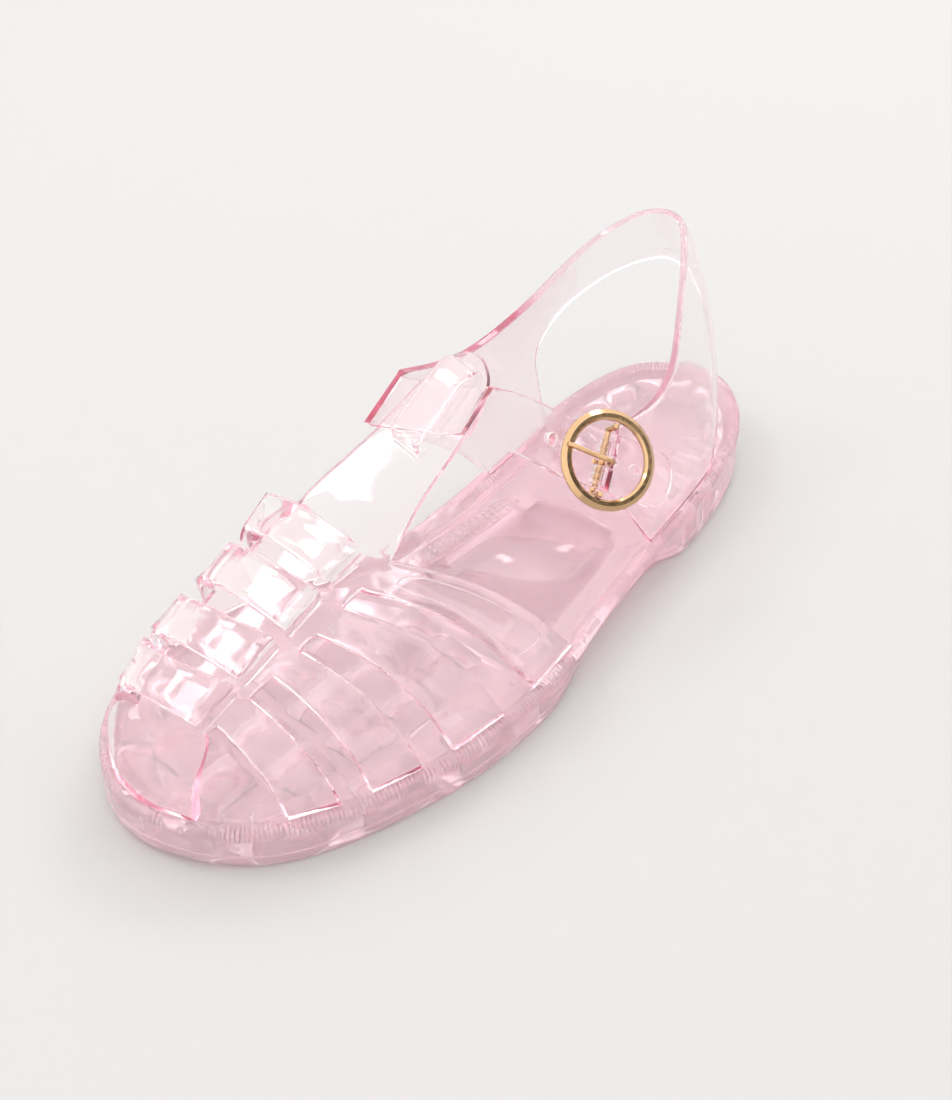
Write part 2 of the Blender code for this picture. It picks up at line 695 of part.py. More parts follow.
def build_rear_strap(collection, cutters, material):
    """Outer points run from the tab under the buckle round the heel to the post, then over the T-strap."""
    across = 7
    share = np.linspace(0, 1, across)
    feet_rows = 4
    stations = []
    for along, half in ((0.0007, BARREL_LENGTH / 2 - 0.0004), (0.0042, BARREL_LENGTH / 2 + 0.0007)):
        level = BAR_LEVEL + 0.45 * STRAP_WALL
        stations.append(tuple(np.array(buckle_point(along, side * half, level)) for side in (-1, 1)))
    for low, high in QUARTER:
        a = on_welt(low[1], 1) if low[0] is None else table_point(low, HEEL_UP)
        stations.append((a, table_point(high, HEEL_UP)))
    first_post = len(stations)
    for _foot, low, high in POST:
        stations.append((table_point(low, HEEL_UP), table_point(high, HEEL_UP)))
    last_post = len(stations) - 1
    for low, high in RISE:
        stations.append((table_point(low, TAB_UP), table_point(high, TAB_UP)))
    fold = len(stations)
    for x, low, high in OVER:
        level = CLEARANCE + 0.0002 + STRAP_WALL
        a = above_t(x * ACROSS, low * ALONG, level)[0]
        b = above_t(x * ACROSS, high * ALONG, level)[0]
        stations.append((a, b))
    for low, high in DOWN:
        stations.append((table_point(low, TAB_UP), table_point(high, TAB_UP)))
    half = STRAP_WIDTH / 2
    ring = RING_DIAMETER / 2
    for along, wide, level in (
        (-ring + 0.001, 1.0, STRAP_LEVEL),
        (-ring * 0.5, 1.0, STRAP_LEVEL),
        (0.0, 1.0, STRAP_LEVEL),
        (ring * 0.5, 1.0, STRAP_LEVEL),
        (ring, 1.0, STRAP_LEVEL - 0.0002),
        (ring + 0.0035, 0.97, STRAP_LEVEL - 0.0008),
        (ring + 0.0065, 0.72, STRAP_LEVEL - 0.0014),
        (ring + 0.0082, 0.34, STRAP_LEVEL - 0.0018),
    ):
        top = level + STRAP_WALL
        ends = [np.array(buckle_point(along, side * half * wide, top)) for side in (-1, 1)]
        stations.append(tuple(ends))
    total = len(stations)
    grid = np.zeros((total, feet_rows + across, 3))
    for i, (low, high) in enumerate(stations):
        line = low[None, :] * (1 - share[:, None]) + high[None, :] * share[:, None]
        if 2 <= i <= last_post:
            tall = np.linalg.norm(high - low)
            out = np.array([low[0] + high[0], 0.0, 0.0]) / 2
            out[0] -= -6.0 * ACROSS
            middle_y = (low[1] + high[1]) / 2
            out[1] = max(0.0, middle_y - 0.30 * LENGTH) * 1.6
            out /= max(np.linalg.norm(out), 1e-6)
            bulge = 0.055 * tall if i < first_post - 5 else 0.02 * tall
            line = line + out[None, :] * (bulge * 4 * share * (1 - share))[:, None]
        grid[i, feet_rows:] = line
    for i in range(first_post, last_post + 1):
        foot = on_welt(POST[i - first_post][0], -1)
        top = grid[i, feet_rows]
        for j in range(feet_rows):
            t = j / feet_rows
            grid[i, j] = foot * (1 - t) + top * t
            grid[i, j, 0] -= 0.0016 * 4 * t * (1 - t) * ACROSS
    cells = np.zeros((total - 1, feet_rows + across - 1), bool)
    cells[:, feet_rows:] = True
    cells[first_post:last_post, :] = True
    # The grid runs from the outer side round the heel, so its faces turn in: swap the way across.
    order = slice(None, None, -1)
    feet = [(i, feet_rows + across - 1) for i in range(first_post, last_post + 1)]
    base = [(i, across - 1) for i in range(2, first_post) if QUARTER[i - 2][0][0] is None]
    mesh = grid_shell("rear_strap", grid[:, order], cells[:, order], STRAP_WALL, feet + base)
    strap = add_object("rear_strap", mesh, collection, material)
    barrel = cylinder("barrel", (0.0, 0.0, BAR_LEVEL), "across", BARREL_RADIUS, BARREL_LENGTH, cutters, 20)
    cut_with(strap, barrel, "UNION")
    bore_radius = BAR_RADIUS + CLEARANCE
    bore_length = BARREL_LENGTH + 0.003
    bore = cylinder("cut_bore", (0.0, 0.0, BAR_LEVEL), "across", bore_radius, bore_length, cutters, 16)
    cut_with(strap, bore, "DIFFERENCE")
    slot_width = 2 * (PRONG_RADIUS + CLEARANCE) + 0.0004
    slot = cube_in_buckle("cut_slot", (0.0, 0.0, BAR_LEVEL - 0.0004), (0.0074, slot_width, 0.0056), cutters)
    cut_with(strap, slot, "DIFFERENCE")
    for k in (-3, -2, 0, 1):
        along = HOLE_AT + k * HOLE_PITCH
        at = (along, 0.0, STRAP_LEVEL + STRAP_WALL / 2)
        hole = cylinder(f"cut_hole_{k + 3}", at, "face", HOLE_RADIUS, 1.5 * STRAP_WALL, cutters, 16)
        if k < -1:
            hole.matrix_world = strap_hole(grid[fold:, feet_rows:], along)
        cut_with(strap, hole, "DIFFERENCE")
    return strap



def strap_hole(rows, along):
    """Matrix of a hole before the buckle: on the strap's middle line, square to the strap there."""
    line = rows.mean(axis=1)
    run = np.concatenate([[0], np.cumsum(np.linalg.norm(np.diff(line, axis=0), axis=1))])
    seat = run[len(line) - 6]
    at = run[:-1].searchsorted(seat + along) - 1
    way = Vector(line[at + 1] - line[at])
    side = Vector(rows[at, -1] - rows[at, 0])
    face = way.cross(side).normalized()
    if face.z < 0:
        face.negate()
    share = (seat + along - run[at]) / (run[at + 1] - run[at])
    matrix = face.to_track_quat("Z", "Y").to_matrix().to_4x4()
    matrix.translation = Vector(line[at] * (1 - share) + line[at + 1] * share) - face * STRAP_WALL / 2
    return matrix


def buckle_matrix(place):
    face, way, side = buckle_axes()
    matrix = Matrix((way, side, face)).transposed().to_4x4()
    matrix.translation = buckle_point(*place)
    return matrix


def cylinder(name, place, axis, radius, length, collection, sides):
    bm = bmesh.new()
    bmesh.ops.create_cone(bm, cap_ends=True, segments=sides, radius1=radius, radius2=radius, depth=length)
    if axis == "across":
        bmesh.ops.rotate(bm, verts=bm.verts, matrix=Matrix.Rotation(math.pi / 2, 3, "X"))
    mesh = finish_mesh(name, bm)
    made = add_object(name, mesh, collection)
    made.matrix_world = buckle_matrix(place)
    as_cutter(made)
    return made


def cube_in_buckle(name, place, size, collection):
    bm = bmesh.new()
    bmesh.ops.create_cube(bm, size=1.0)
    bmesh.ops.scale(bm, verts=bm.verts, vec=size)
    made = add_object(name, finish_mesh(name, bm), collection, smooth=0)
    made.matrix_world = buckle_matrix(place)
    as_cutter(made)
    return made


def build_ring(collection, material):
    """The ring is a turned profile, bevelled on its face, at right angles to the buckle's face."""
    outer = RING_DIAMETER / 2
    inner = outer - RING_FACE
    half = RING_THICKNESS / 2
    soft = RING_THICKNESS * 0.28
    profile = (
        (inner + soft, half), (outer - 2 * soft, half), (outer, half - soft * 1.6), (outer, -half + soft),
        (outer - soft, -half), (inner + soft, -half), (inner, -half + soft), (inner, half - soft),
    )
    bm = bmesh.new()
    verts = [bm.verts.new((x, 0.0, z)) for x, z in profile]
    for a, b in zip(verts, verts[1:] + verts[:1]):
        bm.edges.new((a, b))
    mesh = bpy.data.meshes.new("buckle_ring")
    bm.to_mesh(mesh)
    bm.free()
    ring = bpy.data.objects.new("buckle_ring", mesh)
    collection.objects.link(ring)
    mesh.materials.append(material)
    ring.matrix_world = buckle_matrix((0.0, 0.0, 0.0))
    screw = ring.modifiers.new("turn", "SCREW")
    screw.steps = 40
    screw.render_steps = 40
    screw.use_merge_vertices = True
    screw.merge_threshold = 0.00005
    screw.use_smooth_shade = True
    return ring


def wire(name, points, radius, resolution, collection, material):
    """A bent wire through points of the buckle's frame."""
    curve = bpy.data.curves.new(name, "CURVE")
    curve.dimensions = "3D"
    curve.bevel_depth = radius
    curve.bevel_resolution = resolution
    curve.use_fill_caps = True
    spline = curve.splines.new("POLY")
    spline.points.add(len(points) - 1)
    for slot, point in zip(spline.points, points):
        slot.co = (*point, 1.0)
    curve.materials.append(material)
    made = bpy.data.objects.new(name, curve)
    collection.objects.link(made)
    made.matrix_world = buckle_matrix((0.0, 0.0, 0.0))
    return made


def build_bar(collection, material):
    reach = RING_DIAMETER / 2 - RING_FACE - CLEARANCE - 0.0003
    leg = STRAP_WIDTH / 2 + CLEARANCE + BAR_RADIUS + 0.0004
    low = BAR_LEVEL
    points = (
        (0.0, -reach, 0.0), (0.0, -leg - 0.0001, -0.0001), (0.0, -leg, low * 0.35), (0.0, -leg, low * 0.82),
        (0.0, -leg + 0.0012, low), (0.0, leg - 0.0012, low), (0.0, leg, low * 0.82), (0.0, leg, low * 0.35),
        (0.0, leg + 0.0001, -0.0001), (0.0, reach, 0.0),
    )
    return wire("buckle_bar", points, BAR_RADIUS, 2, collection, material)


def build_prong(collection, material):
    clear = BAR_RADIUS + CLEARANCE + PRONG_RADIUS
    low = BAR_LEVEL
    points = []
    for degrees in (-150, -110, -70, -35, 0):
        angle = math.radians(degrees)
        points.append((clear * math.cos(angle), 0.0, low + clear * math.sin(angle)))
    top = STRAP_LEVEL + STRAP_WALL + CLEARANCE + PRONG_RADIUS
    rest = RING_THICKNESS / 2 + CLEARANCE + PRONG_RADIUS
    ring = RING_DIAMETER / 2
    points += [
        (clear, 0.0, low * 0.5), (clear * 0.9, 0.0, top * 1.0), (clear * 0.35, 0.0, top + 0.0009),
        (-0.0015, 0.0, top + 0.0012),
        (-0.45 * ring, 0.0, top + 0.0016),
        (-ring + RING_FACE + 0.0006, 0.0, rest),
        (-ring + 0.0006, 0.0, rest),
    ]
    return wire("buckle_prong", points, PRONG_RADIUS, 2, collection, material)


def main():
    clear_scene()
    parts = make_collection("jelly_sandal")
    cutters = make_collection("cutters")
    clear_pink = make_material("clear_pink", (0.97, 0.80, 0.84, 1.0), 0.06, 0.0, 1.0)
    sole_pink = make_material("sole_pink", (0.93, 0.55, 0.64, 1.0), 0.10, 0.0, 0.9)
    gold = make_material("polished_gold", (0.86, 0.66, 0.34, 1.0), 0.12, 1.0, 0.0)
    build_sole(parts, cutters, sole_pink)
    build_vamp(parts, cutters, clear_pink)
    build_rear_strap(parts, cutters, clear_pink)
    build_ring(parts, gold)
    build_bar(parts, gold)
    build_prong(parts, gold)


main()
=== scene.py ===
"""Looks of the clear pink jelly sandal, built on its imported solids."""

import math

import bmesh
import bpy
import numpy as np
from mathutils import Matrix, Vector
from mathutils.bvhtree import BVHTree


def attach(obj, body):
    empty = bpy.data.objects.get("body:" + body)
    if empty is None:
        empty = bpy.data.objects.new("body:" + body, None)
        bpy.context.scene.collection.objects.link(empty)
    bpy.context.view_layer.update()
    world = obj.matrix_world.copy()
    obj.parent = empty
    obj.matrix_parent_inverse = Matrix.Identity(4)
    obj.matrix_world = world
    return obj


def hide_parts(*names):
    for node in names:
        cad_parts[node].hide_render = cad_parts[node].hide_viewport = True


bl_info = {
    "name": "Jelly sandal looks",
    "version": (1, 0, 0),
    "blender": (4, 5, 0),
    "location": "View3D > Sidebar > Sandal",
    "description": "Moulded clear plastic, ribs and gold plating for the jelly sandal",
    "category": "Object",
}

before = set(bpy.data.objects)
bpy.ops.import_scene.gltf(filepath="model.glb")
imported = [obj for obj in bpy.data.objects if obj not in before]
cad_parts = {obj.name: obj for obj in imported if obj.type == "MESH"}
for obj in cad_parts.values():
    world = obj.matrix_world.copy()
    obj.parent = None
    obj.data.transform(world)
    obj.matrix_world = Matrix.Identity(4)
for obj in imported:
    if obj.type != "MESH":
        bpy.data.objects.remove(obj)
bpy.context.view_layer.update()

# Camera, fitted to the photograph, in metres
CAMERA_AT = (0.2497, -0.2458, 0.3850)
CAMERA_AIM = (0.0035, 0.0, 0.030)
PHOTO_FOCAL = 1673.8 / 952
# Way to the studio's dark corner, which the polished buckle mirrors
DARK_WALL = (0.80, 0.05, 0.60)

# Height of the welt's top along the sole
WELT_TOP = (
    (-0.125, -0.095, -0.060, 0.010, 0.060, 0.125),
    (0.0165, 0.0149, 0.0138, 0.0138, 0.0170, 0.0210),
)

# Colours of the plastic's faint cloud, in the straps and in the sole
STRAP_CLOUD = (1.0, 0.99, 0.99)
SOLE_CLOUD = (1.0, 0.86, 0.90)

# Long level edges near the welt's top are cut finer for its ribs: how far in and down they are looked for,
# the least length, and how level they are
BEAD_REACH = 0.0062
BEAD_DROP = 0.0048
BEAD_EDGE = 0.0024
BEAD_LEVEL = 0.0006
BEAD_CUTS = 15
# How far in from the welt's line and down from its top the ribs reach, and the way over which they fade
RIB_REACH = 0.0052
RIB_DROP = 0.0042
RIB_FADE = 0.0008
# Upright faces further in than this, and faces further down than that, are in the sole's hollows
HOLLOW_INSET = 0.0036
HOLLOW_DROP = 0.0052

# Fine bead low on the sole's side, rising round the toe
SIDE_BEAD_HEIGHT = 0.0042
SIDE_BEAD_RADIUS = 0.0004
SIDE_BEAD_RISE = 0.0022
SIDE_BEAD_RISE_FROM = -0.092
SIDE_BEAD_RISE_OVER = 0.033

# Field of raised dots on the footbed: its middle line (across, along) and half width, in millimetres
DOT_FIELD = (
    (-20.5, -8.0, 0.4), (-20.0, -5.0, 2.6), (-19.3, 4.0, 3.4), (-18.6, 14.0, 3.6),
    (-18.0, 24.0, 3.4), (-17.2, 34.0, 2.8), (-16.6, 39.0, 0.4),
)
DOT_STEP = 2.4
DOT_ROWS = (-0.62, 0.0, 0.62)

# Middle of the bar inside the barrel, and the way it runs
BAR_MIDDLE = (18.73, 35.95, 51.69)
BAR_WAY = (-0.396, 0.743, 0.539)
# Collars on the bar: places in steps from its middle, and sizes
COLLARS = (-2.5, -1.5, 1.5, 2.5)
COLLAR_STEP = 0.0019
COLLAR_RADIUS = 0.00127
COLLAR_WIDTH = 0.0009

# Holes of the strap: middle in millimetres, way out, and how thick the rim stands
HOLES = (
    ((11.25, 21.75, 65.47), (0.932, 0.157, 0.326), 0.40),
    ((13.12, 27.01, 59.89), (0.678, -0.159, 0.718), 0.40),
    ((22.41, 36.76, 53.28), (0.678, -0.159, 0.718), 0.22),
    ((27.05, 41.64, 49.98), (0.678, -0.159, 0.718), 0.40),
)
HOLE_RADIUS = 0.0021
RIM_LIFT = 0.0010

# Border line on the widest outer strap: shares of the way down from the ridge, and how far it stays in
BORDER_SHARES = (0.36, 0.44, 0.52, 0.60, 0.68, 0.76, 0.83)
BORDER_INSET = 0.0034
# Middle line that the border's rays run to: across and up
PANEL_AXIS = (-12.0, 10.0)

# The floor lies this far under the sole, since faces in one plane render dark
FLOOR_GAP = 0.0003
FLOOR_COLOUR = (0.50, 0.492, 0.488)
ROOM_STRENGTH = 1.65

# The welt's outer line, found when the sole is built
OUTER_LINE = []


class SandalSettings(bpy.types.PropertyGroup):
    """Sizes and colours that change the sandal's finish."""

    edge_round: bpy.props.FloatProperty(
        name="Edge round", description="Radius of the straps' moulded edges", default=0.00035,
        min=0.0, max=0.001, unit="LENGTH", precision=5)
    rib_pitch: bpy.props.FloatProperty(
        name="Rib pitch", description="Distance between the fine ribs of the welt", default=0.00130,
        min=0.0006, max=0.003, unit="LENGTH", precision=5)
    rib_depth: bpy.props.FloatProperty(
        name="Rib depth", description="Depth of the grooves between the ribs", default=0.00055,
        min=0.0, max=0.001, unit="LENGTH", precision=5)
    tint: bpy.props.FloatVectorProperty(
        name="Tint", description="Colour that is left after a long way through the plastic",
        default=(0.90, 0.28, 0.48), size=3, min=0.0, max=1.0, subtype="COLOR")
    strap_density: bpy.props.FloatProperty(
        name="Strap tint", description="How much of the tint a metre of the clear straps takes",
        default=20.0, min=0.0, max=400.0)
    sole_density: bpy.props.FloatProperty(
        name="Sole tint", description="How much of the tint a metre of the sole takes",
        default=8.0, min=0.0, max=400.0)
    gold: bpy.props.FloatVectorProperty(
        name="Gold", description="Colour of the plated buckle", default=(0.62, 0.41, 0.23),
        size=3, min=0.0, max=1.0, subtype="COLOR")
    dot_radius: bpy.props.FloatProperty(
        name="Dot radius", description="Radius of the raised dots on the footbed", default=0.0006,
        min=0.0002, max=0.002, unit="LENGTH", precision=5)


def settings():
    return bpy.context.scene.sandal


# Materials

def new_material(name):
    material = bpy.data.materials.new(name)
    material.use_nodes = True
    nodes = material.node_tree.nodes
    nodes.clear()
    output = nodes.new("ShaderNodeOutputMaterial")
    shader = nodes.new("ShaderNodeBsdfPrincipled")
    material.node_tree.links.new(shader.outputs["BSDF"], output.inputs["Surface"])
    return material, nodes, material.node_tree.links, shader, output


def object_noise(nodes, links, scale, detail):
    coords = nodes.new("ShaderNodeTexCoord")
    noise = nodes.new("ShaderNodeTexNoise")
    noise.inputs["Scale"].default_value = scale
    noise.inputs["Detail"].default_value = detail
    links.new(coords.outputs["Object"], noise.inputs["Vector"])
    return noise


def ranged(nodes, links, source, low, high, out_low, out_high):
    ramp = nodes.new("ShaderNodeMapRange")
    ramp.inputs["From Min"].default_value = low
    ramp.inputs["From Max"].default_value = high
    ramp.inputs["To Min"].default_value = out_low
    ramp.inputs["To Max"].default_value = out_high
    links.new(source, ramp.inputs["Value"])
    return ramp.outputs["Result"]


def clear_plastic(name, density, rough, wave, clear, base):
    """Soft clear plastic: it takes up the tint with depth, and has faint flow waves and handling marks."""
    made, nodes, links, shader, output = new_material(name)
    shader.inputs["Base Color"].default_value = (*base, 1.0)
    shader.inputs["IOR"].default_value = 1.5
    shader.inputs["Transmission Weight"].default_value = clear
    marks = object_noise(nodes, links, 60.0, 3.0)
    gloss = ranged(nodes, links, marks.outputs["Fac"], 0.35, 0.75, rough, rough + 0.06)
    links.new(gloss, shader.inputs["Roughness"])
    flow = object_noise(nodes, links, 45.0, 1.5)
    grain = object_noise(nodes, links, 900.0, 2.0)
    bump = nodes.new("ShaderNodeBump")
    bump.inputs["Strength"].default_value = wave
    bump.inputs["Distance"].default_value = 0.0006
    links.new(flow.outputs["Fac"], bump.inputs["Height"])
    fine = nodes.new("ShaderNodeBump")
    fine.inputs["Strength"].default_value = 0.05
    fine.inputs["Distance"].default_value = 0.0001
    links.new(grain.outputs["Fac"], fine.inputs["Height"])
    links.new(bump.outputs["Normal"], fine.inputs["Normal"])
    links.new(fine.outputs["Normal"], shader.inputs["Normal"])
    depth = nodes.new("ShaderNodeVolumeAbsorption")
    depth.inputs["Color"].default_value = (*settings().tint, 1.0)
    depth.inputs["Density"].default_value = density
    links.new(depth.outputs["Volume"], output.inputs["Volume"])
    return made


def gold_plating():
    made, nodes, links, shader, _output = new_material("gold_plating")
    shader.inputs["Metallic"].default_value = 1.0
    tone = object_noise(nodes, links, 140.0, 2.0)
    mix = nodes.new("ShaderNodeMix")
    mix.data_type = "RGBA"
    base = settings().gold
    mix.inputs["A"].default_value = (*base, 1.0)
    mix.inputs["B"].default_value = (base[0] * 0.9, base[1] * 0.86, base[2] * 0.8, 1.0)
    links.new(tone.outputs["Fac"], mix.inputs["Factor"])
    links.new(mix.outputs["Result"], shader.inputs["Base Color"])
    scuff = object_noise(nodes, links, 700.0, 4.0)
    links.new(ranged(nodes, links, scuff.outputs["Fac"], 0.4, 0.7, 0.09, 0.2), shader.inputs["Roughness"])
    return made


# Meshes

def put_piece(name, bm, material, node=None, sharp=32.0):
    """Makes the piece from the mesh, smooth with hard edges kept, riding on the body."""
    mesh = bpy.data.meshes.new(name)
    bm.to_mesh(mesh)
    bm.free()
    mesh.shade_smooth()
    mesh.set_sharp_from_angle(angle=math.radians(sharp))
    mesh.materials.append(material)
    made = bpy.data.objects.new(name, mesh)
    bpy.context.scene.collection.objects.link(made)
    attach(made, "root")
    if node:
        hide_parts(*node)
    return made


def solid_copy(node):
    """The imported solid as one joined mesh, its flat pairs of triangles made quads."""
    bm = bmesh.new()
    bm.from_mesh(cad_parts[node].data)
    bmesh.ops.remove_doubles(bm, verts=bm.verts, dist=2e-6)
    bmesh.ops.dissolve_degenerate(bm, edges=bm.edges, dist=5e-6)
    bmesh.ops.join_triangles(
        bm, faces=bm.faces, angle_face_threshold=0.35, angle_shape_threshold=1.2, topology_influence=1.0)
    return bm


def soft_crease(bm, angle):
    """Creases the edges sharper than the angle, so that subdivision smooths along them and not across."""
    layer = bm.edges.layers.float.get("crease_edge") or bm.edges.layers.float.new("crease_edge")
    for edge in bm.edges:
        if len(edge.link_faces) == 2 and edge.calc_face_angle(0.0) > angle:
            edge[layer] = 1.0


def finish_smooth(piece, levels, radius, angle):
    """Subdivision along the creases, then a small round on each hard edge."""
    smooth = piece.modifiers.new("smooth", "SUBSURF")
    smooth.levels = smooth.render_levels = levels
    edge = piece.modifiers.new("edge", "BEVEL")
    edge.width = radius
    edge.segments = 2
    edge.limit_method = "ANGLE"
    edge.angle_limit = math.radians(angle)
    edge.use_clamp_overlap = True
    edge.harden_normals = True


def welt_line(bm):
    """The welt's outer line as ordered points round the sole, each the furthest out near its top."""
    rim = {}
    for vert in bm.verts:
        if vert.co.z < 0.0095:
            continue
        turn = round(math.atan2(vert.co.y / 125, vert.co.x / 45) / math.tau * 144)
        if turn not in rim or vert.co.xy.length > rim[turn].xy.length:
            rim[turn] = vert.co.copy()
    return np.array([rim[k] for k in sorted(rim) if k + 144 not in rim])


def welt_height(y):
    """Height of the welt's top at a place along the sole: even in front, rising to the heel."""
    return float(np.interp(y, WELT_TOP[0], WELT_TOP[1]))


def along_line(points, line):
    """Length along the closed line, and distance from it on the plan, of the nearest place to each point."""
    start = line[:, :2]
    span = np.roll(start, -1, axis=0) - start
    length = np.linalg.norm(span, axis=1)
    run = np.concatenate([[0], np.cumsum(length)])[:-1]
    best = np.full(len(points), 1e9)
    found = np.zeros(len(points))
    for k in range(len(start)):
        if length[k] < 1e-7:
            continue
        share = np.clip(((points[:, :2] - start[k]) @ span[k]) / length[k] ** 2, 0, 1)
        far = np.linalg.norm(points[:, :2] - start[k] - share[:, None] * span[k], axis=1)
        near = far < best
        best[near] = far[near]
        found[near] = run[k] + share[near] * length[k]
    return found, best, length.sum()


def clamped(value):
    return max(0.0, min(1.0, value))


def rib_welt(bm):
    """Cuts fine grooves across the welt's bead all round."""
    line = welt_line(bm)
    bm.verts.ensure_lookup_table()
    points = np.array([v.co for v in bm.verts])
    away = along_line(points, line)[1]
    bead = []
    for edge in bm.edges:
        a, b = edge.verts
        gaps = away[a.index], away[b.index]
        low = min(a.co.z, b.co.z) - welt_height(a.co.y)
        if max(gaps) > BEAD_REACH or low < -BEAD_DROP:
            continue
        level = abs(a.co.z - b.co.z) < BEAD_LEVEL and abs(gaps[0] - gaps[1]) < BEAD_LEVEL
        if level and edge.calc_length() > BEAD_EDGE:
            bead.append(edge)
    bmesh.ops.subdivide_edges(bm, edges=bead, cuts=BEAD_CUTS, use_grid_fill=True)
    points = np.array([v.co for v in bm.verts])
    run, away, total = along_line(points, line)
    count = round(total / settings().rib_pitch)
    bm.normal_update()
    for vert, s, gap in zip(bm.verts, run, away):
        under = welt_height(vert.co.y) - vert.co.z
        hold = clamped((RIB_DROP - under) / RIB_FADE) * clamped((RIB_REACH - gap) / RIB_FADE)
        if hold > 0:
            groove = 0.5 - 0.5 * math.cos(math.tau * count * s / total)
            vert.co -= vert.normal * (settings().rib_depth * hold * groove ** 1.5)


class SANDAL_OT_straps(bpy.types.Operator):
    """Moulded vamp and rear strap with rounded edges"""

    bl_idname = "sandal.straps"
    bl_label = "Straps"

    def execute(self, context):
        density = settings().strap_density
        look = clear_plastic("clear_strap_plastic", density, rough=0.04, wave=0.25, clear=1.0, base=STRAP_CLOUD)
        for node in ("vamp", "rear_strap"):
            bm = solid_copy(node)
            soft_crease(bm, math.radians(38))
            made = put_piece("clear_" + node, bm, look, (node,), sharp=180.0)
            finish_smooth(made, 2, settings().edge_round, 40)
        return {"FINISHED"}


def deep(point):
    """Whether a place is well inside the sole's side, as the walls of its hollows are."""
    return min((point.xy - Vector(p[:2])).length for p in OUTER_LINE) > HOLLOW_INSET


class SANDAL_OT_sole(bpy.types.Operator):
    """Moulded sole with its ribbed welt"""

    bl_idname = "sandal.sole"
    bl_label = "Sole"

    def execute(self, context):
        density = settings().sole_density
        look = clear_plastic("pink_sole_plastic", density, rough=0.06, wave=0.15, clear=0.76, base=SOLE_CLOUD)
        bm = solid_copy("sole")
        OUTER_LINE.extend(welt_line(bm))
        rib_welt(bm)
        bm.normal_update()
        for face in bm.faces:
            middle = face.calc_center_median()
            low = welt_height(middle.y) - middle.z > HOLLOW_DROP
            hollow = abs(face.normal.z) < 0.2 and deep(middle)
            face.material_index = int(low and (face.normal.z < -0.2 or hollow))
        made = put_piece("moulded_sole", bm, look, ("sole",), sharp=38.0)
        under = clear_plastic("matte_underside", density, rough=0.15, wave=0.3, clear=0.76, base=SOLE_CLOUD)
        made.data.materials.append(under)
        tree = surface("sole")
        line = []
        for place in OUTER_LINE:
            outer = Vector((place[0], place[1], 0.0))
            out = outer.normalized()
            share = clamped((SIDE_BEAD_RISE_FROM - outer.y) / SIDE_BEAD_RISE_OVER)
            height = SIDE_BEAD_HEIGHT + SIDE_BEAD_RISE * share ** 2
            start = Vector((outer.x, outer.y, height)) + out * 0.01
            hit, normal, _face, _far = tree.ray_cast(start, -out, 0.03)
            if hit:
                line.append(hit - normal * 0.00018)
        ridge_line("side_bead", line, SIDE_BEAD_RADIUS, look)
        return {"FINISHED"}


def surface(node):
    """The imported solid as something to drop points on."""
    bm = bmesh.new()
    bm.from_mesh(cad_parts[node].data)
    tree = BVHTree.FromBMesh(bm)
    bm.free()
    return tree


def ridge_line(name, points, radius, look):
    """A fine moulded ridge along the closed line of points."""
    data = bpy.data.curves.new(name, "CURVE")
    data.dimensions = "3D"
    data.bevel_depth = radius
    data.bevel_resolution = 2
    data.resolution_u = 4
    spline = data.splines.new("NURBS")
    spline.points.add(len(points) - 1)
    for place, point in zip(spline.points, points):
        place.co = (*point, 1.0)
    spline.use_cyclic_u = True
    spline.order_u = 3
    holder = bpy.data.objects.new(name + "_line", data)
    bpy.context.scene.collection.objects.link(holder)
    bpy.context.view_layer.update()
    mesh = bpy.data.meshes.new_from_object(holder.evaluated_get(bpy.context.evaluated_depsgraph_get()))
    bpy.data.objects.remove(holder)
    bm = bmesh.new()
    bm.from_mesh(mesh)
    bmesh.ops.remove_doubles(bm, verts=bm.verts, dist=1e-6)
    bmesh.ops.recalc_face_normals(bm, faces=bm.faces)
    put_piece(name, bm, look, None, sharp=60.0)


class SANDAL_OT_footbed(bpy.types.Operator):
    """Raised dots on the footbed, with the ridge round them"""

    bl_idname = "sandal.footbed"
    bl_label = "Footbed relief"

    def execute(self, context):
        look = bpy.data.materials["pink_sole_plastic"]
        tree = surface("sole")
        field = np.array(DOT_FIELD) / 1000
        radius = settings().dot_radius

        def on_footbed(x, y, lift):
            hit = tree.ray_cast(Vector((x, y, 0.05)), Vector((0.0, 0.0, -1.0)))[0]
            return hit + Vector((0.0, 0.0, lift))

        bm = bmesh.new()
        for y in np.arange(field[1, 1], field[-2, 1] + 1e-6, DOT_STEP / 1000):
            x, half = (float(np.interp(y, field[:, 1], field[:, k])) for k in (0, 2))
            for side in DOT_ROWS:
                at = on_footbed(x + side * half, y, -0.25 * radius)
                bmesh.ops.create_icosphere(bm, subdivisions=1, radius=radius, matrix=Matrix.Translation(at))
        put_piece("footbed_dots", bm, look, None, sharp=180.0)
        ring = [on_footbed(x + half, y, -0.00005) for x, y, half in field]
        ring += [on_footbed(x - half, y, -0.00005) for x, y, half in field[::-1]]
        ridge_line("dot_field_ridge", ring, 0.00035, look)
        return {"FINISHED"}


def strap_span(tree, share):
    """Ray hits on the rearmost outer strap from its rear edge forwards, at a share down from the ridge."""
    turn = math.radians(90 - 85 * share)
    way = Vector((math.cos(turn), 0.0, math.sin(turn)))
    found = []
    for y in np.arange(0.012, -0.070, -0.0005):
        axis = Vector((PANEL_AXIS[0] / 1000, y, PANEL_AXIS[1] / 1000))
        hit, normal, _face, far = tree.ray_cast(axis + way * 0.15, -way, 0.145)
        if hit and (not found or abs(far - found[-1][2]) < 0.0008):
            found.append((hit, normal, far))
        elif found:
            break
    return found


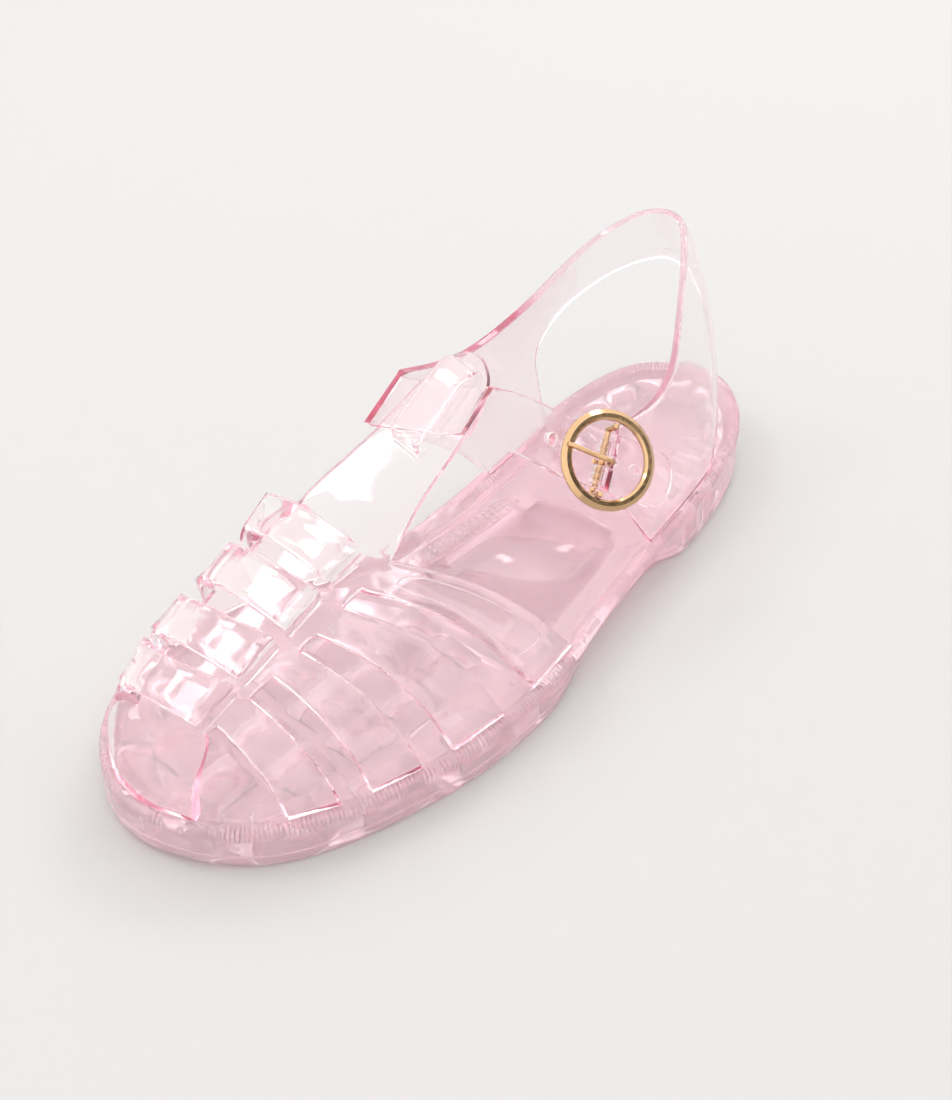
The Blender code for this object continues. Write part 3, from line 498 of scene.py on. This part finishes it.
class SANDAL_OT_trim(bpy.types.Operator):
    """Rims of the strap's holes and the border line of the widest strap"""

    bl_idname = "sandal.trim"
    bl_label = "Strap relief"

    def execute(self, context):
        look = bpy.data.materials["clear_strap_plastic"]
        bm = bmesh.new()
        for middle, out, thick in HOLES:
            turn = Vector(out).to_track_quat("Z", "Y").to_matrix().to_4x4()
            turn.translation = Vector(middle) / 1000 + Vector(out).normalized() * RIM_LIFT
            before = set(bm.verts)
            made = bmesh.ops.create_circle(bm, segments=8, radius=thick / 1000)
            bmesh.ops.rotate(bm, verts=made["verts"], matrix=Matrix.Rotation(math.pi / 2, 3, "X"))
            bmesh.ops.translate(bm, verts=made["verts"], vec=(HOLE_RADIUS, 0.0, 0.0))
            loop = [e for v in made["verts"] for e in v.link_edges]
            bmesh.ops.spin(
                bm, geom=made["verts"] + list(set(loop)), cent=(0, 0, 0), axis=(0, 0, 1),
                angle=math.tau, steps=24, use_merge=True)
            fresh = [v for v in bm.verts if v not in before]
            bmesh.ops.transform(bm, matrix=turn, verts=fresh)
        bmesh.ops.recalc_face_normals(bm, faces=bm.faces)
        put_piece("hole_rims", bm, look, None, sharp=180.0)
        tree = surface("vamp")
        front = []
        rear = []
        for share in BORDER_SHARES:
            hits = strap_span(tree, share)
            keep = [h for h in hits if BORDER_INSET < abs(h[0].y - hits[0][0].y)]
            keep = [h for h in keep if BORDER_INSET < abs(h[0].y - hits[-1][0].y)]
            rear.append(keep[0][0] - keep[0][1] * 0.00008)
            front.append(keep[-1][0] - keep[-1][1] * 0.00008)
        line = front + rear[::-1]
        ridge_line("wide_strap_border", line, 0.0003, look)
        return {"FINISHED"}


class SANDAL_OT_buckle(bpy.types.Operator):
    """Gold-plated ring, bar and prong"""

    bl_idname = "sandal.buckle"
    bl_label = "Buckle"

    def execute(self, context):
        look = gold_plating()
        for node in ("buckle_ring", "buckle_bar", "buckle_prong"):
            bm = solid_copy(node)
            put_piece("gold_" + node[7:], bm, look, (node,), sharp=35.0)
        way = Vector(BAR_WAY).normalized()
        middle = Vector(BAR_MIDDLE) / 1000
        bm = bmesh.new()
        for step in COLLARS:
            turn = way.to_track_quat("Z", "Y").to_matrix().to_4x4()
            turn.translation = middle + way * step * COLLAR_STEP
            bmesh.ops.create_cone(
                bm, cap_ends=True, segments=20, radius1=COLLAR_RADIUS, radius2=COLLAR_RADIUS,
                depth=COLLAR_WIDTH, matrix=turn)
        put_piece("bar_collars", bm, look, None, sharp=35.0)
        return {"FINISHED"}


def lamp(name, at, aim, size, power):
    data = bpy.data.lights.new(name, "AREA")
    data.shape = "RECTANGLE"
    data.size, data.size_y = size
    data.energy = power
    made = bpy.data.objects.new(name, data)
    bpy.context.scene.collection.objects.link(made)
    made.location = at
    made.rotation_euler = (Vector(aim) - Vector(at)).to_track_quat("-Z", "Y").to_euler()


class SANDAL_OT_stage(bpy.types.Operator):
    """Pale floor, soft light and the camera"""

    bl_idname = "sandal.stage"
    bl_label = "Stage"

    def execute(self, context):
        bm = bmesh.new()
        bmesh.ops.create_grid(bm, x_segments=1, y_segments=1, size=6.0)
        mesh = bpy.data.meshes.new("floor")
        bm.to_mesh(mesh)
        bm.free()
        mesh.transform(Matrix.Translation((0.0, 0.0, -FLOOR_GAP)))
        floor = bpy.data.objects.new("floor", mesh)
        context.scene.collection.objects.link(floor)
        paper, _nodes, _links, shader, _output = new_material("pale_floor")
        shader.inputs["Base Color"].default_value = (*FLOOR_COLOUR, 1.0)
        shader.inputs["Roughness"].default_value = 0.8
        shader.inputs["Specular IOR Level"].default_value = 0.2
        mesh.materials.append(paper)
        world = bpy.data.worlds.new("soft_room")
        world.use_nodes = True
        sky = world.node_tree.nodes
        coords = sky.new("ShaderNodeTexCoord")
        height = sky.new("ShaderNodeSeparateXYZ")
        world.node_tree.links.new(coords.outputs["Generated"], height.inputs["Vector"])
        shade = sky.new("ShaderNodeValToRGB")
        shade.color_ramp.elements[0].position = 0.0
        shade.color_ramp.elements[0].color = (0.8, 0.79, 0.785, 1.0)
        shade.color_ramp.elements[1].position = 0.55
        shade.color_ramp.elements[1].color = (1.0, 0.995, 0.99, 1.0)
        world.node_tree.links.new(height.outputs["Z"], shade.inputs["Fac"])
        aim = sky.new("ShaderNodeVectorMath")
        aim.operation = "DOT_PRODUCT"
        aim.inputs[1].default_value = Vector(DARK_WALL).normalized()
        world.node_tree.links.new(coords.outputs["Generated"], aim.inputs[0])
        wall = ranged(sky, world.node_tree.links, aim.outputs["Value"], 0.935, 0.965, 1.0, 0.10)
        dim = sky.new("ShaderNodeMix")
        dim.data_type = "RGBA"
        dim.blend_type = "MULTIPLY"
        dim.inputs["Factor"].default_value = 1.0
        world.node_tree.links.new(shade.outputs["Color"], dim.inputs["A"])
        world.node_tree.links.new(wall, dim.inputs["B"])
        world.node_tree.links.new(dim.outputs["Result"], sky["Background"].inputs["Color"])
        sky["Background"].inputs["Strength"].default_value = ROOM_STRENGTH
        context.scene.world = world
        lamp("key_softbox", (-0.55, -0.35, 0.95), (0.0, 0.0, 0.03), (0.24, 0.24), 1.5)
        lamp("rear_softbox", (-0.25, 0.75, 0.8), (0.0, 0.0, 0.03), (0.4, 0.2), 2.0)
        camera = bpy.data.objects.new("camera", bpy.data.cameras.new("camera"))
        context.scene.collection.objects.link(camera)
        camera.location = CAMERA_AT
        camera.data.sensor_width = 36.0
        camera.data.sensor_fit = "HORIZONTAL"
        camera.data.lens = PHOTO_FOCAL * 36.0
        camera.data.clip_start = 0.01
        look = Vector(CAMERA_AIM) - Vector(CAMERA_AT)
        camera.rotation_euler = look.to_track_quat("-Z", "Y").to_euler()
        context.scene.camera = camera
        context.scene.view_settings.view_transform = "Standard"
        context.scene.cycles.max_bounces = 40
        context.scene.cycles.transmission_bounces = 40
        context.scene.cycles.glossy_bounces = 32
        context.scene.cycles.diffuse_bounces = 6
        context.scene.cycles.blur_glossy = 0.0
        return {"FINISHED"}


class SANDAL_PT_panel(bpy.types.Panel):
    """Sizes, colours and steps of the sandal"""

    bl_idname = "SANDAL_PT_panel"
    bl_label = "Jelly sandal"
    bl_space_type = "VIEW_3D"
    bl_region_type = "UI"
    bl_category = "Sandal"

    def draw(self, context):
        column = self.layout.column()
        for name in SandalSettings.__annotations__:
            column.prop(context.scene.sandal, name)
        for step in STEPS:
            column.operator(step.bl_idname)


STEPS = (
    SANDAL_OT_stage, SANDAL_OT_sole, SANDAL_OT_footbed, SANDAL_OT_straps, SANDAL_OT_trim, SANDAL_OT_buckle)


def register():
    for item in (SandalSettings, *STEPS, SANDAL_PT_panel):
        bpy.utils.register_class(item)
    bpy.types.Scene.sandal = bpy.props.PointerProperty(type=SandalSettings)


def unregister():
    del bpy.types.Scene.sandal
    for item in (SANDAL_PT_panel, *reversed(STEPS), SandalSettings):
        bpy.utils.unregister_class(item)


def main():
    register()
    for step in STEPS:
        group, name = step.bl_idname.split(".")
        getattr(getattr(bpy.ops, group), name)()


if __name__ == "__main__":
    main()
